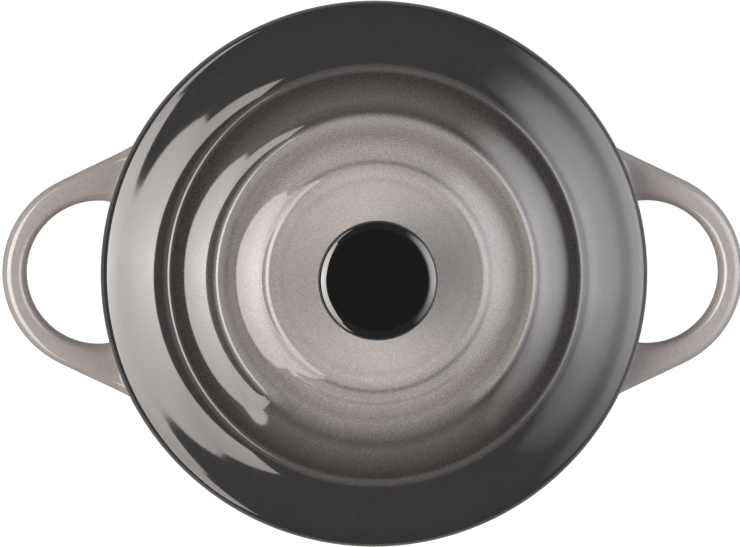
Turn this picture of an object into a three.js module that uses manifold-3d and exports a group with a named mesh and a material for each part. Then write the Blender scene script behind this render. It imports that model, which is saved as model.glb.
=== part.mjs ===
// Mini cocotte: a one-portion round pot in glazed stoneware, with two loop handles and a loose lid.
// The lid carries a black moulded knob, which a screw from below clamps to it through soft washers.
// Millimetres, +Z up. The origin is the middle of the foot ring, on the table; +X runs through a handle.

import * as THREE from "three";
import { mergeVertices, toCreasedNormals } from "three/addons/utils/BufferGeometryUtils.js";
import Module from "manifold-3d";

const wasm = await Module();
wasm.setup();

// Pot: a turned wall on a foot ring
const POT_RADIUS = 50; // outside of the wall at the rim
const POT_HEIGHT = 47; // table to rim
const POT_WALL = 5;
const POT_TAPER = 3; // how far the wall leans in from rim to base
const POT_FLOOR = 5;
const BASE_ROUND = 14; // outside, from wall to base
const CAVITY_ROUND = 11; // inside, from wall to floor
const RIM_ROUND = 1.4;
const FOOT_INSET = 15; // from the wall in to the foot ring
const FOOT_WIDTH = 4;
const FOOT_HEIGHT = 1.5;
const FOOT_ROUND = 0.6;

// Handles: two loops cast with the wall
const GRIP_RADIUS = 13.4; // the round finger opening
const GRIP_OFFSET = 1.6; // from the wall out to the middle of the opening
const BAR_WIDTH = 4.7; // seen from above, at the tip of the loop
const BAR_HEIGHT = 7.5;
const BAR_TOP_FLATNESS = 4; // 2 is an oval section, larger is flatter
const BAR_SIDE_FLATNESS = 2;
const LOOP_RADIUS = 19; // outer curve of the loop, seen from above
const ROOT_FLARE = 25.5; // degrees between the spreading root and the X axis
const ROOT_DROP = 2; // how much lower the bar's underside is where it joins the wall
const ROOT_REACH = 9; // how far from the wall that drop begins
const HANDLE_DROP = 4.2; // rim to the top of the bar

// Lid: three stepped rings on a low dome, with a locating skirt below
const LID_OVERHANG = 1; // past the wall of the pot
const LID_EDGE = 2.5; // height of the outer edge
const LID_WALL = 5.5; // at the middle
const EDGE_ROUND = 2.2;
const EDGE_UNDER_ROUND = 0.5;
const CROWN_WIDTH = 2.1; // band that falls away to the edge
const CROWN_SLOPE = 31; // degrees
const CROWN_ROUND = 7;
const FLANGE_WIDTH = 12.3; // edge to the crest of the outer ring
const FLANGE_SLOPE = 8.6; // degrees
const RING_PITCH = 9.35;
const RING_RISES = [3.2, 2.9, 2.4]; // height of each ring's riser, from the outer ring to the inner one
const RISER_WIDTHS = [3.8, 3.6, 3.6]; // seen from above
const CREST_WIDTH = 1.6;
const CREST_LIP = 0.1; // how far a crest stands above the terrace behind it
const CREST_ROUNDS = [1, 1.4, 1.9];
const TERRACE_ROUND = 17; // hollow in front of a riser
const RING_BREAK = 90; // degrees at the front without the middle ring
const RING_END = 7; // degrees over which the broken ring runs out
const DOME_SPRING = 1.8; // where the underside leaves the skirt, above the seat
const DOME_ROUND = 6;
const SKIRT_DEPTH = 4;
const SKIRT_WIDTH = 3.2;
const SKIRT_ROUND = 1.1;

// Knob: a mushroom moulded round a blind threaded bush
const KNOB_RADIUS = 11;
const KNOB_HEIGHT = 14.5;
const KNOB_EDGE = 3.6; // height of the rim of the cap
const KNOB_RIM_ROUND = 1.1;
const KNOB_SHOULDER_WIDTH = 0.96; // from the rim in to the shoulder
const KNOB_SHOULDER_DROP = 0.55;
const KNOB_SHOULDER_ROUND = 2.6;
const KNOB_FALL_WIDTH = 0.91; // from the shoulder in to the flat top
const KNOB_FALL_DROP = 0.13;
const KNOB_FALL_ROUND = 6;
const KNOB_UNDER_ROUND = 1.2;
const KNOB_NECK_RADIUS = 6.6;
const KNOB_NECK_HEIGHT = 4;
const KNOB_NECK_ROUND = 5;
const KNOB_FOOT_RADIUS = 8;
const KNOB_FOOT_ROUND = 0.5;
const BUSH_WALL = 1.4; // round the thread
const BUSH_END_WALL = 1.2;
const BUSH_GROOVE_DEPTH = 0.6; // two grooves that key the bush into the moulding
const BUSH_GROOVE_WIDTH = 1.6;

// Fastening: pan-head screw, steel washer and two soft washers
const SCREW_DIAMETER = 4;
const SCREW_REACH = 7.4; // into the bush
const SCREW_TIP_CHAMFER = 0.6;
const HEAD_OVERHANG = 2; // past the shank
const HEAD_HEIGHT = 2.5;
const HEAD_ROUND = 1.6;
const RECESS_LENGTH = 4.2; // cross recess in the head
const RECESS_WIDTH = 0.9;
const RECESS_DEPTH = 1.3;
const WASHER_OVERHANG = 0.5; // past the head
const WASHER_THICKNESS = 0.8;
const CUSHION_OVERHANG = 1; // past the washer
const CUSHION_THICKNESS = 1;
const GASKET_INSET = 0.4; // inside the knob's foot
const GASKET_THICKNESS = 0.8;

// Fits
const SEAT_GAP = 0.3; // lid on rim
const SKIRT_CLEARANCE = 1.2; // radial, skirt in the mouth of the pot
const STACK_GAP = 0.1; // between clamped pieces
const THREAD_CLEARANCE = 0.1; // radial, screw in bush
const TIP_CLEARANCE = 1.4; // past the end of the screw
const BUSH_CLEARANCE = 0.1; // bush in moulding
const SHANK_CLEARANCE = 0.25; // radial, washers on screw
const HOLE_CLEARANCE = 0.6; // radial, lid on screw

// Facets
const LARGE_ROUND = 48; // segments of the pot and the lid
const MEDIUM_ROUND = 30; // of the knob
const SMALL_ROUND = 20; // of the fastening
const FACET_ERROR = 0.06; // how far a facet may lie inside its arc
const BAR_STATIONS = 30; // sections along a handle
const BAR_POINTS = 12; // corners of a section
const CREASE_ANGLE = 35; // degrees, for shading

// Materials, from the photograph
const finish = (color, roughness, metalness = 0) =>
  new THREE.MeshStandardMaterial({ color, roughness, metalness });
const PALE_GLAZE = finish(0xaaa19b, 0.12);
const DARK_GLAZE = finish(0x4a4747, 0.12);
const BLACK_MOULDING = finish(0x161616, 0.15);
const BRASS = finish(0xb08d4a, 0.35, 1);
const STEEL = finish(0xc4c4c2, 0.3, 1);
const SILICONE = finish(0x3a3a3a, 0.7);

// Geometry helpers

const { degToRad, mapLinear, smoothstep, clamp } = THREE.MathUtils;

// Turns corners [radius, height, rounding] into outline points. A rounding becomes an arc that touches
// both sides of its corner, and is made smaller where two arcs would meet on a side.
function roundedOutline(corners) {
  const points = corners.map(([r, z]) => new THREE.Vector2(r, z));
  const sides = points.map((point, i) => points[(i + 1) % points.length].clone().sub(point));
  const turns = sides.map((side, i) => {
    const before = sides.at(i - 1);
    return Math.atan2(before.cross(side), before.dot(side));
  });
  const wanted = corners.map(([, , rounding = 0], i) => rounding * Math.tan(Math.abs(turns[i]) / 2));
  const room = sides.map((side, i) => side.length() / (wanted[i] + wanted[(i + 1) % wanted.length]));
  return points.flatMap((point, i) => {
    const reach = wanted[i] * Math.min(1, room.at(i - 1), room[i]);
    if (!(reach > 0)) return [point];
    const radius = reach / Math.tan(Math.abs(turns[i]) / 2);
    const back = sides.at(i - 1).clone().normalize();
    const start = point.clone().addScaledVector(back, -reach);
    const inward = new THREE.Vector2(-back.y, back.x).multiplyScalar(Math.sign(turns[i]));
    const centre = start.clone().addScaledVector(inward, radius);
    const facet = 2 * Math.acos(1 - Math.min(FACET_ERROR / radius, 1));
    const steps = Math.max(2, Math.round(Math.abs(turns[i]) / facet));
    return Array.from({ length: steps + 1 }, (_, k) =>
      start.clone().rotateAround(centre, (turns[i] * k) / steps),
    );
  });
}

// A closed solid from a three.js geometry: shared vertices are merged and empty triangles dropped.
function solidOf(geometry) {
  const bare = geometry.clone();
  bare.deleteAttribute("normal");
  bare.deleteAttribute("uv");
  const merged = mergeVertices(bare);
  const triVerts = [];
  for (let i = 0; i < merged.index.count; i += 3) {
    const corners = [0, 1, 2].map((k) => merged.index.getX(i + k));
    if (new Set(corners).size === 3) triVerts.push(...corners);
  }
  const vertProperties = merged.attributes.position.array;
  return new wasm.Manifold(
    new wasm.Mesh({ numProp: 3, vertProperties, triVerts: new Uint32Array(triVerts) }),
  );
}

// Turns an outline about the Z axis. It runs anticlockwise in the radius-height plane, and either starts
// and ends on the axis or goes round a ring. Where share(angle from the front) is above 0, the outline
// moves towards a second one that has the same radii.
function turned(outline, segments, second = outline, share = () => 0) {
  const close = (points) => (points[0].x === 0 ? points : [...points, points[0]]);
  const first = close(outline);
  const other = close(second);
  const geometry = new THREE.LatheGeometry(first, segments);
  const position = geometry.attributes.position;
  for (let s = 0; s <= segments; s++) {
    const angle = (2 * Math.PI * s) / segments;
    const part = share(Math.min(angle, 2 * Math.PI - angle));
    first.forEach((point, i) => {
      position.setY(s * first.length + i, point.y + part * (other[i].y - point.y));
    });
  }
  return solidOf(geometry.rotateX(Math.PI / 2));
}

const revolve = (corners, segments) => turned(roundedOutline(corners), segments);

// Joins sections, each a ring of points in order, into a closed tube with flat ends.
function loft(sections) {
  const count = sections[0].length;
  const positions = sections.flat().flatMap((p) => [p.x, p.y, p.z]);
  const index = [];
  for (let s = 0; s + 1 < sections.length; s++) {
    for (let i = 0; i < count; i++) {
      const a = s * count + i;
      const b = s * count + ((i + 1) % count);
      index.push(a, b + count, b, a, a + count, b + count);
    }
  }
  const last = (sections.length - 1) * count;
  for (let i = 1; i + 1 < count; i++) {
    index.push(0, i, i + 1, last, last + i + 1, last + i);
  }
  const geometry = new THREE.BufferGeometry();
  geometry.setAttribute("position", new THREE.Float32BufferAttribute(positions, 3));
  geometry.setIndex(index);
  return solidOf(geometry);
}

function piece(name, solid, material) {
  const { vertProperties, triVerts } = solid.getMesh();
  const geometry = new THREE.BufferGeometry();
  geometry.setAttribute("position", new THREE.BufferAttribute(vertProperties, 3));
  geometry.setIndex(new THREE.BufferAttribute(triVerts, 1));
  const mesh = new THREE.Mesh(toCreasedNormals(geometry, degToRad(CREASE_ANGLE)), material);
  mesh.name = name;
  return mesh;
}

// Pot

const mouthRadius = POT_RADIUS - POT_WALL;
const midWallRadius = POT_RADIUS - POT_WALL / 2;

function potWall() {
  const floor = FOOT_HEIGHT + POT_FLOOR;
  const baseRadius = POT_RADIUS - POT_TAPER;
  const footRadius = baseRadius - FOOT_INSET;
  return revolve(
    [
      [0, FOOT_HEIGHT],
      [footRadius - FOOT_WIDTH, FOOT_HEIGHT, FOOT_ROUND],
      [footRadius - FOOT_WIDTH, 0, FOOT_ROUND],
      [footRadius, 0, FOOT_ROUND],
      [footRadius, FOOT_HEIGHT, FOOT_ROUND],
      [baseRadius, FOOT_HEIGHT, BASE_ROUND],
      [POT_RADIUS, POT_HEIGHT, RIM_ROUND],
      [mouthRadius, POT_HEIGHT, RIM_ROUND],
      [mouthRadius - POT_TAPER, floor, CAVITY_ROUND],
      [0, floor],
    ],
    LARGE_ROUND,
  );
}

// The loop seen from above, on the +X side: a finger opening, an arc round the tip, and two straight
// roots that touch the arc and spread until they have passed into the wall.
const flare = degToRad(ROOT_FLARE);
const openingX = POT_RADIUS + GRIP_OFFSET;
const arcShift = GRIP_RADIUS + BAR_WIDTH - LOOP_RADIUS; // middle of the opening to the middle of the arc
const rootDistance = LOOP_RADIUS + arcShift * Math.sin(flare); // middle of the opening to the root's line
const rootTouch = Math.atan2(LOOP_RADIUS * Math.cos(flare), arcShift + LOOP_RADIUS * Math.sin(flare));
const rootEnd = rootEndAngle();

function rootEndAngle() {
  const fromAxis = openingX * Math.sin(flare) + rootDistance;
  const along = Math.sqrt(Math.max(0, mouthRadius ** 2 - fromAxis ** 2));
  const x = fromAxis * Math.sin(flare) + along * Math.cos(flare);
  const y = fromAxis * Math.cos(flare) - along * Math.sin(flare);
  return Math.atan2(y, x - openingX);
}

// From the middle of the opening to the outer curve, in the direction at an angle from the X axis
function loopReach(angle) {
  const turn = Math.abs(angle);
  if (turn > rootTouch) return rootDistance / Math.sin(turn + flare);
  return arcShift * Math.cos(turn) + Math.sqrt(LOOP_RADIUS ** 2 - (arcShift * Math.sin(turn)) ** 2);
}

// One corner of a rounded bar section, as shares of its half width and half height
function barCorner(i) {
  const turn = (2 * Math.PI * i) / BAR_POINTS;
  const flatten = (x, flatness) => Math.sign(x) * Math.abs(x) ** (2 / flatness);
  return [flatten(Math.cos(turn), BAR_TOP_FLATNESS), flatten(Math.sin(turn), BAR_SIDE_FLATNESS)];
}

// Sections between the finger opening and the outer curve. Their top is level, and they grow deeper as
// they run into the wall.
function handleLoop() {
  const top = POT_HEIGHT - HANDLE_DROP;
  const sections = Array.from({ length: BAR_STATIONS + 1 }, (_, s) => {
    const angle = rootEnd * ((2 * s) / BAR_STATIONS - 1);
    const direction = new THREE.Vector2(Math.cos(angle), Math.sin(angle));
    const halfWidth = (loopReach(angle) - GRIP_RADIUS) / 2;
    const centre = direction.clone().multiplyScalar(GRIP_RADIUS + halfWidth);
    centre.x += openingX;
    const nearness = clamp(1 - (centre.length() - POT_RADIUS) / ROOT_REACH, 0, 1);
    const halfHeight = (BAR_HEIGHT + ROOT_DROP * nearness ** 2) / 2;
    return Array.from({ length: BAR_POINTS }, (_, i) => {
      const [across, up] = barCorner(i);
      const plan = centre.clone().addScaledVector(direction, halfWidth * across);
      return new THREE.Vector3(plan.x, plan.y, top + halfHeight * (up - 1));
    });
  });
  return loft(sections);
}

function pot() {
  const core = revolve(
    [
      [0, 0],
      [midWallRadius - POT_TAPER, 0],
      [midWallRadius, POT_HEIGHT],
      [0, POT_HEIGHT],
    ],
    LARGE_ROUND,
  );
  const right = handleLoop().subtract(core);
  const left = right.rotate([0, 0, 180]);
  return piece("pot", potWall().add(right).add(left), PALE_GLAZE);
}

// Lid, above its seat plane at Z = 0

const lidRadius = POT_RADIUS + LID_OVERHANG;
const crownTop = LID_EDGE + CROWN_WIDTH * Math.tan(degToRad(CROWN_SLOPE));
const flangeRun = FLANGE_WIDTH - CROWN_WIDTH - RISER_WIDTHS[0];
const flangeTop = crownTop + flangeRun * Math.tan(degToRad(FLANGE_SLOPE));

// Rings from the outer one to the inner one. Each riser starts from the terrace behind the crest before
// it, the first from the outer band.
const rings = [];
for (const [i, rise] of RING_RISES.entries()) {
  const before = rings.at(-1);
  const radius = before ? before.radius - RING_PITCH : lidRadius - FLANGE_WIDTH;
  const foot = before ? before.crest - CREST_LIP : flangeTop;
  rings.push({ radius, foot, crest: foot + rise, run: RISER_WIDTHS[i], rounding: CREST_ROUNDS[i] });
}
const innerRing = rings.at(-1);
const plateau = innerRing.crest - CREST_LIP;
const underside = plateau - LID_WALL;

// The lid's outline with the middle ring pressed down to a straight slope between its neighbours
function outlineWithoutMiddleRing(outline) {
  const top = outline.filter((point) => point.y > underside);
  const from = top.findLast((point) => point.x >= rings[0].radius - CREST_WIDTH);
  const to = top.find((point) => point.x <= innerRing.radius + innerRing.run);
  return outline.map((point) => {
    const onSlope = point.y > underside && point.x < from.x && point.x > to.x;
    const height = onSlope ? mapLinear(point.x, from.x, to.x, from.y, to.y) : point.y;
    return new THREE.Vector2(point.x, height);
  });
}

function lid() {
  const hole = SCREW_DIAMETER / 2 + HOLE_CLEARANCE;
  const skirtOuter = mouthRadius - SKIRT_CLEARANCE;
  const skirtInner = skirtOuter - SKIRT_WIDTH;
  const steps = rings.flatMap(({ radius, foot, crest, run, rounding }) => [
    [radius + run, foot, TERRACE_ROUND],
    [radius, crest, rounding],
    [radius - CREST_WIDTH, crest - CREST_LIP, rounding],
  ]);
  const outline = roundedOutline([
    [hole, underside],
    [innerRing.radius, underside, DOME_ROUND],
    [skirtInner, DOME_SPRING, DOME_ROUND],
    [skirtInner, -SKIRT_DEPTH, SKIRT_ROUND],
    [skirtOuter, -SKIRT_DEPTH, SKIRT_ROUND],
    [skirtOuter, 0],
    [lidRadius, 0, EDGE_UNDER_ROUND],
    [lidRadius, LID_EDGE, EDGE_ROUND],
    [lidRadius - CROWN_WIDTH, crownTop, CROWN_ROUND],
    ...steps,
    [hole, plateau],
  ]);
  const breakEnd = degToRad(RING_BREAK / 2);
  const share = (angle) => 1 - smoothstep(angle, breakEnd - degToRad(RING_END), breakEnd);
  const solid = turned(outline, LARGE_ROUND, outlineWithoutMiddleRing(outline), share);
  return piece("lid", solid, DARK_GLAZE);
}

// Knob, above its foot at Z = 0

const boreRadius = SCREW_DIAMETER / 2 + THREAD_CLEARANCE;
const boreDepth = SCREW_REACH + TIP_CLEARANCE;
const bushLength = boreDepth + BUSH_END_WALL;

// Stepped side of the bush, with two keying grooves. The moulding round it takes the same steps, grown
// by the clearance.
function bushSteps(clearance) {
  const outer = boreRadius + BUSH_WALL + clearance;
  const inner = outer - BUSH_GROOVE_DEPTH;
  const land = (bushLength - 2 * BUSH_GROOVE_WIDTH) / 3;
  const grooves = [land, 2 * land + BUSH_GROOVE_WIDTH].flatMap((start) => [
    [outer, start + clearance],
    [inner, start + clearance],
    [inner, start + BUSH_GROOVE_WIDTH - clearance],
    [outer, start + BUSH_GROOVE_WIDTH - clearance],
  ]);
  return [[outer, 0], ...grooves, [outer, bushLength + clearance]];
}

function knob() {
  const shoulder = KNOB_HEIGHT - KNOB_FALL_DROP;
  const shoulderRadius = KNOB_RADIUS - KNOB_SHOULDER_WIDTH;
  const solid = revolve(
    [
      [0, bushLength + BUSH_CLEARANCE],
      ...bushSteps(BUSH_CLEARANCE).toReversed(),
      [KNOB_FOOT_RADIUS, 0, KNOB_FOOT_ROUND],
      [KNOB_NECK_RADIUS, KNOB_NECK_HEIGHT, KNOB_NECK_ROUND],
      [KNOB_RADIUS, KNOB_HEIGHT - KNOB_EDGE, KNOB_UNDER_ROUND],
      [KNOB_RADIUS, shoulder - KNOB_SHOULDER_DROP, KNOB_RIM_ROUND],
      [shoulderRadius, shoulder, KNOB_SHOULDER_ROUND],
      [shoulderRadius - KNOB_FALL_WIDTH, KNOB_HEIGHT, KNOB_FALL_ROUND],
      [0, KNOB_HEIGHT],
    ],
    MEDIUM_ROUND,
  );
  return piece("knob", solid, BLACK_MOULDING);
}

function knobBush() {
  const solid = revolve(
    [[0, boreDepth], [boreRadius, boreDepth], [boreRadius, 0], ...bushSteps(0), [0, bushLength]],
    SMALL_ROUND,
  );
  return piece("knob_bush", solid, BRASS);
}

// Fastening

const headRadius = SCREW_DIAMETER / 2 + HEAD_OVERHANG;
const washerRadius = headRadius + WASHER_OVERHANG;
const cushionRadius = washerRadius + CUSHION_OVERHANG;
const gasketRadius = KNOB_FOOT_RADIUS - GASKET_INSET;

function washer(name, radius, thickness, material) {
  const bore = SCREW_DIAMETER / 2 + SHANK_CLEARANCE;
  const corners = [[bore, 0], [radius, 0], [radius, thickness], [bore, thickness]];
  return piece(name, revolve(corners, SMALL_ROUND), material);
}

// Screw with the underside of its head at Z = 0
function knobScrew(length) {
  const shank = SCREW_DIAMETER / 2;
  const blank = revolve(
    [
      [0, -HEAD_HEIGHT],
      [headRadius, -HEAD_HEIGHT, HEAD_ROUND],
      [headRadius, 0],
      [shank, 0],
      [shank, length - SCREW_TIP_CHAMFER],
      [shank - SCREW_TIP_CHAMFER, length],
      [0, length],
    ],
    SMALL_ROUND,
  );
  const slot = new THREE.BoxGeometry(RECESS_LENGTH, RECESS_WIDTH, 2 * RECESS_DEPTH);
  const cross = solidOf(slot).add(solidOf(slot.clone().rotateZ(Math.PI / 2)));
  return piece("knob_screw", blank.subtract(cross.translate([0, 0, -HEAD_HEIGHT])), STEEL);
}

// Assembly: the knob is stacked up from the top of the lid, the screw down from its underside

const gasket = washer("knob_gasket", gasketRadius, GASKET_THICKNESS, SILICONE);
gasket.position.z = plateau + STACK_GAP;
const knobGroup = new THREE.Group();
knobGroup.position.z = gasket.position.z + GASKET_THICKNESS + STACK_GAP;
knobGroup.add(knob(), knobBush());

const cushion = washer("screw_cushion", cushionRadius, CUSHION_THICKNESS, SILICONE);
cushion.position.z = underside - STACK_GAP - CUSHION_THICKNESS;
const steelWasher = washer("screw_washer", washerRadius, WASHER_THICKNESS, STEEL);
steelWasher.position.z = cushion.position.z - STACK_GAP - WASHER_THICKNESS;
const screwSeat = steelWasher.position.z - STACK_GAP;
const screw = knobScrew(knobGroup.position.z - screwSeat + SCREW_REACH);
screw.position.z = screwSeat;

const lidGroup = new THREE.Group();
lidGroup.position.z = POT_HEIGHT + SEAT_GAP;
lidGroup.add(lid(), gasket, knobGroup, cushion, steelWasher, screw);

const cocotte = new THREE.Group();
cocotte.add(pot(), lidGroup);

export default cocotte;
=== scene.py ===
import math

import bmesh
import bpy
from mathutils import Matrix, Vector


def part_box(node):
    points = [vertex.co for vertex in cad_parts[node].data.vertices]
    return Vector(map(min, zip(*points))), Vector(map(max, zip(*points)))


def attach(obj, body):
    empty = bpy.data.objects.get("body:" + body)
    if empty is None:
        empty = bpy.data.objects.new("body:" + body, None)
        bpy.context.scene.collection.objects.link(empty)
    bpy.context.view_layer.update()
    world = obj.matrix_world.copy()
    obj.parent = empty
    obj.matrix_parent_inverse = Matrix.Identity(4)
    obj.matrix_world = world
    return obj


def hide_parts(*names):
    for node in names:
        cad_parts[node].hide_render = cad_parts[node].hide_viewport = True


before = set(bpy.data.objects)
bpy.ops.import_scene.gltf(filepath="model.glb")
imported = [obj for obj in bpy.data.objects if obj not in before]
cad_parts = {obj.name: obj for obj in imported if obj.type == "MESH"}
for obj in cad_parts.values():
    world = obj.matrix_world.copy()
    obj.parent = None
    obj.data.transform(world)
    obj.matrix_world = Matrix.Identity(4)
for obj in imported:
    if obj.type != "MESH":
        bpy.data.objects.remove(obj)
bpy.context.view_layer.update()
scene = bpy.context.scene


# Pot: the lower half of the cocotte, a thick stoneware casting whose two loop handles grow out of its
# wall. The glaze is greige at the rim and the handles and darker below, cream inside, and it is wiped
# off the foot ring before the firing.

MM = 0.001
_, pot_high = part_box("pot")
lid_low, lid_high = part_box("lid")
LID_OVERHANG = 1.0 * MM
POT_WALL = 5.0 * MM
POT_TAPER = 3.0 * MM
POT_FLOOR = 5.0 * MM
BASE_ROUND = 14.0 * MM
CAVITY_ROUND = 11.0 * MM
RIM_ROUND = 1.4 * MM
FOOT_INSET = 15.0 * MM
FOOT_WIDTH = 4.0 * MM
FOOT_HEIGHT = 1.5 * MM
FOOT_ROUND = 0.6 * MM
GRIP_RADIUS = 13.4 * MM
GRIP_OFFSET = 1.6 * MM
BAR_HEIGHT = 7.5 * MM
BAR_TOP_FLATNESS = 4  # 2 is an oval section, larger is flatter
BAR_SIDE_FLATNESS = 2
LOOP_RADIUS = 19.0 * MM
ROOT_FLARE = math.radians(25.5)
ROOT_DROP = 2.0 * MM
ROOT_REACH = 9.0 * MM
HANDLE_DROP = 4.2 * MM
FIRST_CORNER = 225  # degrees round the bar's section, at its lower inner corner
ROOT_START = math.radians(98)  # where the bar begins to spread into the wall, seen from the opening
ROOT_LIMIT = math.radians(130)  # a direction in which the bar would lie inside the wall
ROOT_HALVINGS = 40  # steps in the search for the place where the bar meets the wall
POT_COLUMNS = 144
ROOT_COLUMNS = (5, 13)  # columns of the wall, counted from the X axis, that a root takes up
ROOT_ROWS = 4
ROOT_SPAN = (30.8 * MM, 43.7 * MM)  # heights between which it joins the wall
BAR_STATIONS = 36
FILLET_STEPS = (0.25, 0.5, 0.75)
LINING_ROWS = 2  # rows of the wall from the top of the rim in to the cream glaze
LEAST_ARC_STEPS = 4
STEP_SLACK = 1e-6  # how much of a step a side may be too long before it is cut once more
SAME_PLACE = 1e-6  # points closer than this are one
TINY = 1e-9

rim_height = pot_high.z
pot_radius = lid_high.x - LID_OVERHANG
opening_x = pot_radius + GRIP_OFFSET
bar_width = pot_high.x - opening_x - GRIP_RADIUS
bar_top = rim_height - HANDLE_DROP


def rounded_outline(corners, arc_step, side_step):
    """Outline points from corners (radius, height, rounding). Arcs and sides are split into short steps."""
    points = [Vector(corner[:2]) for corner in corners]
    count = len(points)
    sides = [points[(i + 1) % count] - point for i, point in enumerate(points)]
    turns = [math.atan2(sides[i - 1].cross(side), sides[i - 1].dot(side)) for i, side in enumerate(sides)]
    roundings = [corner[2] if len(corner) > 2 else 0.0 for corner in corners]
    wanted = [rounding * math.tan(abs(turn) / 2) for rounding, turn in zip(roundings, turns)]
    room = [side.length / max(wanted[i] + wanted[(i + 1) % count], TINY) for i, side in enumerate(sides)]
    outline = []
    for i, point in enumerate(points):
        reach = wanted[i] * min(1.0, room[i - 1], room[i])
        if reach < TINY:
            bend = [point]
        else:
            radius = reach / math.tan(abs(turns[i]) / 2)
            back = sides[i - 1].normalized()
            start = point - back * reach
            centre = start + Vector((-back.y, back.x)) * math.copysign(radius, turns[i])
            steps = max(LEAST_ARC_STEPS, math.ceil(abs(turns[i]) * radius / arc_step))
            spoke = start - centre
            bend = [centre + Matrix.Rotation(turns[i] * k / steps, 2) @ spoke for k in range(steps + 1)]
        if outline:
            gap = bend[0] - outline[-1]
            cuts = math.ceil(gap.length / side_step - STEP_SLACK)
            outline += [outline[-1] + gap * k / cuts for k in range(1, cuts)]
        outline += bend
    return outline


def wall_radius(height):
    """Outside of the wall, which leans in from the rim to the base."""
    return pot_radius - POT_TAPER * (rim_height - height) / (rim_height - FOOT_HEIGHT)


def bar_corners():
    """Corners of the bar's section, as shares of its half width and half height, in a root's order."""
    across_steps = ROOT_COLUMNS[1] - ROOT_COLUMNS[0]
    corners = []
    for side, steps in enumerate((across_steps, ROOT_ROWS, across_steps, ROOT_ROWS)):
        for step in range(steps):
            turn = math.radians(FIRST_CORNER + 90 * (side + step / steps))
            across, up = math.cos(turn), math.sin(turn)
            across = math.copysign(abs(across) ** (2 / BAR_TOP_FLATNESS), across)
            up = math.copysign(abs(up) ** (2 / BAR_SIDE_FLATNESS), up)
            corners.append((across, up))
    return corners


def bar_point(angle, across, up):
    """A point on the skin of the right handle, in the direction at an angle from the X axis."""
    turn = abs(angle)
    arc_shift = GRIP_RADIUS + bar_width - LOOP_RADIUS
    root_distance = LOOP_RADIUS + arc_shift * math.sin(ROOT_FLARE)
    touch_x = arc_shift + LOOP_RADIUS * math.sin(ROOT_FLARE)
    root_touch = math.atan2(LOOP_RADIUS * math.cos(ROOT_FLARE), touch_x)
    if turn > root_touch:
        reach = root_distance / math.sin(turn + ROOT_FLARE)
    else:
        reach = arc_shift * math.cos(turn) + math.sqrt(LOOP_RADIUS**2 - (arc_shift * math.sin(turn)) ** 2)
    half_width = (reach - GRIP_RADIUS) / 2
    direction = Vector((math.cos(angle), math.sin(angle)))
    centre = Vector((opening_x, 0)) + direction * (GRIP_RADIUS + half_width)
    nearness = min(max(1 - (centre.length - pot_radius) / ROOT_REACH, 0.0), 1.0)
    half_height = (BAR_HEIGHT + ROOT_DROP * nearness**2) / 2
    plan = centre + direction * half_width * across
    return Vector((plan.x, plan.y, bar_top + half_height * (up - 1)))


def bar_meets_wall(side, across, up):
    """Where a line along the bar would run into the wall."""
    near, far = ROOT_START, ROOT_LIMIT
    for _ in range(ROOT_HALVINGS):
        middle = (near + far) / 2
        point = bar_point(side * middle, across, up)
        if point.xy.length > wall_radius(point.z):
            near = middle
        else:
            far = middle
    return bar_point(side * near, across, up)


base_radius = pot_radius - POT_TAPER
foot_radius = base_radius - FOOT_INSET
mouth_radius = pot_radius - POT_WALL
floor_height = FOOT_HEIGHT + POT_FLOOR
root_heights = [ROOT_SPAN[0] + (ROOT_SPAN[1] - ROOT_SPAN[0]) * k / ROOT_ROWS for k in range(ROOT_ROWS + 1)]
pot_outline = rounded_outline(
    [
        (0, FOOT_HEIGHT),
        (foot_radius - FOOT_WIDTH, FOOT_HEIGHT, FOOT_ROUND),
        (foot_radius - FOOT_WIDTH, 0, FOOT_ROUND),
        (foot_radius, 0, FOOT_ROUND),
        (foot_radius, FOOT_HEIGHT, FOOT_ROUND),
        (base_radius, FOOT_HEIGHT, BASE_ROUND),
        *[(wall_radius(height), height) for height in root_heights],
        (pot_radius, rim_height, RIM_ROUND),
        (mouth_radius, rim_height, RIM_ROUND),
        (mouth_radius - POT_TAPER, floor_height, CAVITY_ROUND),
        (0, floor_height),
    ],
    arc_step=2.5 * MM,
    side_step=4.0 * MM,
)
rim_row = max(range(len(pot_outline)), key=lambda i: pot_outline[i].y)
root_rows = [min(range(rim_row), key=lambda i: abs(pot_outline[i].y - height)) for height in root_heights]

cage = bmesh.new()
lining = cage.verts.layers.float.new("lining")
rings = []
for row, point in enumerate(pot_outline):
    ring = []
    for column in range(POT_COLUMNS if point.x > SAME_PLACE else 1):
        angle = 2 * math.pi * column / POT_COLUMNS
        ring.append(cage.verts.new((point.x * math.cos(angle), point.x * math.sin(angle), point.y)))
        ring[-1][lining] = 1.0 if row > rim_row + LINING_ROWS else 0.0
    rings.append(ring * (POT_COLUMNS // len(ring)))

taken = set()
for middle in (0, POT_COLUMNS // 2):
    for column in range(*ROOT_COLUMNS):
        taken |= {(middle + column) % POT_COLUMNS, (middle - column - 1) % POT_COLUMNS}
for row in range(len(rings) - 1):
    for column in range(POT_COLUMNS):
        if column in taken and root_rows[0] <= row < root_rows[-1]:
            continue
        after = (column + 1) % POT_COLUMNS
        corners = (rings[row][column], rings[row][after], rings[row + 1][after], rings[row + 1][column])
        cage.faces.new(dict.fromkeys(corners))


def root_loop(middle, side):
    """Corners of the opening that a root leaves in the wall, from its lower inner corner outwards."""
    inner, outer = (middle + side * column for column in ROOT_COLUMNS)
    low, high = root_rows[0], root_rows[-1]
    places = [(low, column) for column in range(inner, outer, side)]
    places += [(row, outer) for row in root_rows[:-1]]
    places += [(high, column) for column in range(outer, inner, -side)]
    places += [(row, inner) for row in reversed(root_rows[1:])]
    return [rings[row][column % POT_COLUMNS] for row, column in places]


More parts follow.
